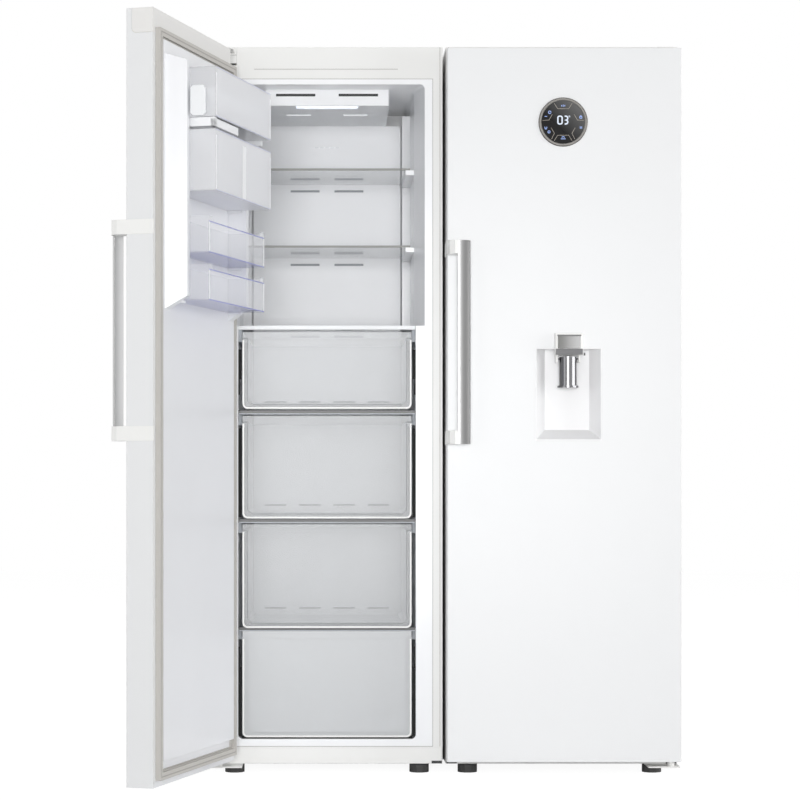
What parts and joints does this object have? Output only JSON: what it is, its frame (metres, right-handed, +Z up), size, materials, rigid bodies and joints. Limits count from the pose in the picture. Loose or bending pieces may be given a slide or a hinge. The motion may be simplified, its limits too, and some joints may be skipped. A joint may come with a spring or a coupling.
{
  "type": "side by side refrigerator",
  "caption": "Side-by-side refrigerator pair: upright freezer with drawers, shelves and door ice maker, and upright fridge with round display and water dispenser.",
  "frame": {"origin": "on the floor, in the middle of the outline seen from above with the freezer door as stored, open", "axes": "+Z up, +Y towards the backs of the cabinets, +X to the right of someone facing the doors"},
  "size_m": [1.3938, 1.226, 1.855],
  "materials": {
    "white_steel": "satin",
    "foam": "matte",
    "liner_white": "gloss",
    "zinc_steel": "satin",
    "white_plastic": "satin",
    "aluminium_fin": "satin",
    "lens_clear": "gloss",
    "motor_black": "satin",
    "hinge_steel": "satin",
    "shelf_glass": "gloss",
    "shelf_strip": "satin",
    "trim_grey": "satin",
    "runner_dark": "matte",
    "foot_black": "matte",
    "compressor_black": "satin",
    "clear_plastic": "gloss",
    "fan_plastic": "matte",
    "gasket_grey": "matte",
    "grip_aluminium": "satin",
    "bezel_metal": "satin",
    "panel_glass": "gloss",
    "chrome": "gloss",
    "niche_white": "satin"
  },
  "bodies": {
    "cabinets": {"freezer_shell": "white_steel", "freezer_insulation": "foam", "freezer_liner": "liner_white", "freezer_rear_panel": "zinc_steel", "freezer_duct_cover": "liner_white", "freezer_evaporator": "aluminium_fin", "freezer_fan_housing": "white_plastic", "freezer_lamp_lens": "lens_clear", "freezer_fan_motor": "motor_black", "freezer_hinges": "hinge_steel", "freezer_glass_shelves": "shelf_glass", "freezer_shelf_strips": "shelf_strip", "drawer_dividers": "shelf_glass", "divider_trims": "trim_grey", "drawer_runners": "runner_dark", "fridge_shell": "white_steel", "fridge_insulation": "foam", "fridge_liner": "liner_white", "fridge_rear_panel": "zinc_steel", "fridge_hinges": "hinge_steel", "fridge_shelves": "shelf_glass", "fridge_crispers": "clear_plastic", "plinths": "white_plastic", "compressors": "compressor_black", "power_inlets": "runner_dark", "hinge_covers": "white_plastic", "front_feet": "foot_black", "rear_feet": "foot_black", "joining_plates": "zinc_steel"},
    "fan_rotor": {"freezer_fan_rotor": "fan_plastic"},
    "drawer_1": {"drawer_1": "clear_plastic"},
    "drawer_2": {"drawer_2": "clear_plastic"},
    "drawer_3": {"drawer_3": "clear_plastic"},
    "drawer_4": {"drawer_4": "clear_plastic"},
    "freezer_door": {"freezer_door_skin": "white_steel", "freezer_door_foam": "foam", "freezer_door_liner": "liner_white", "freezer_door_caps": "white_plastic", "freezer_door_gasket": "gasket_grey", "freezer_handle_bar": "grip_aluminium", "freezer_handle_brackets": "white_plastic", "freezer_door_bins": "clear_plastic", "ice_maker_housing": "clear_plastic"},
    "ice_bucket": {"ice_bucket": "clear_plastic"},
    "ice_tray": {"ice_tray": "white_plastic", "ice_tray_lever": "white_plastic"},
    "fridge_door": {"fridge_door_skin": "white_steel", "fridge_door_foam": "foam", "fridge_door_liner": "liner_white", "fridge_door_caps": "white_plastic", "fridge_door_gasket": "gasket_grey", "fridge_handle_bar": "grip_aluminium", "fridge_handle_brackets": "white_plastic", "control_bezel": "bezel_metal", "control_glass": "panel_glass", "dispenser_recess": "niche_white", "dispenser_head": "bezel_metal", "water_tank": "clear_plastic", "fridge_door_bins": "clear_plastic"},
    "dispenser_lever": {"dispenser_lever": "chrome"}
  },
  "joints": [
    {"name": "freezer_door_hinge", "type": "hinge", "parent": "cabinets", "child": "freezer_door", "pos_m": [-0.47015, -0.05502, 0.039], "axis": [0, 0, -1], "range_deg": [-106.2, 13.8]},
    {"name": "fridge_door_hinge", "type": "hinge", "parent": "cabinets", "child": "fridge_door", "pos_m": [0.67485, -0.05502, 0.039], "axis": [0, 0, 1], "range_deg": [0, 120]},
    {"name": "drawer_1_slide", "type": "slide", "parent": "cabinets", "child": "drawer_1", "axis": [0, -1, 0], "range_m": [0, 0.3]},
    {"name": "drawer_2_slide", "type": "slide", "parent": "cabinets", "child": "drawer_2", "axis": [0, -1, 0], "range_m": [0, 0.3]},
    {"name": "drawer_3_slide", "type": "slide", "parent": "cabinets", "child": "drawer_3", "axis": [0, -1, 0], "range_m": [0, 0.3]},
    {"name": "drawer_4_slide", "type": "slide", "parent": "cabinets", "child": "drawer_4", "axis": [0, -1, 0], "range_m": [0, 0.25]},
    {"name": "ice_bucket_slide", "type": "slide", "parent": "freezer_door", "child": "ice_bucket", "axis": [0.9603, -0.279, 0], "range_m": [0, 0.12]},
    {"name": "ice_tray_twist", "type": "hinge", "parent": "freezer_door", "child": "ice_tray", "pos_m": [-0.43506, -0.35003, 1.649], "axis": [-0.279, -0.9603, 0], "range_deg": [0, 140], "stiffness_Nm_per_rad": 0.12},
    {"name": "dispenser_lever_push", "type": "hinge", "parent": "fridge_door", "child": "dispenser_lever", "pos_m": [0.41235, -0.07002, 1.056], "axis": [1, 0, 0], "range_deg": [0, 12], "stiffness_Nm_per_rad": 0.3},
    {"name": "fan_spin", "type": "hinge", "parent": "cabinets", "child": "fan_rotor", "pos_m": [-0.19665, 0.29398, 1.729], "axis": [0, 0, 1], "continuous": true}
  ]
}
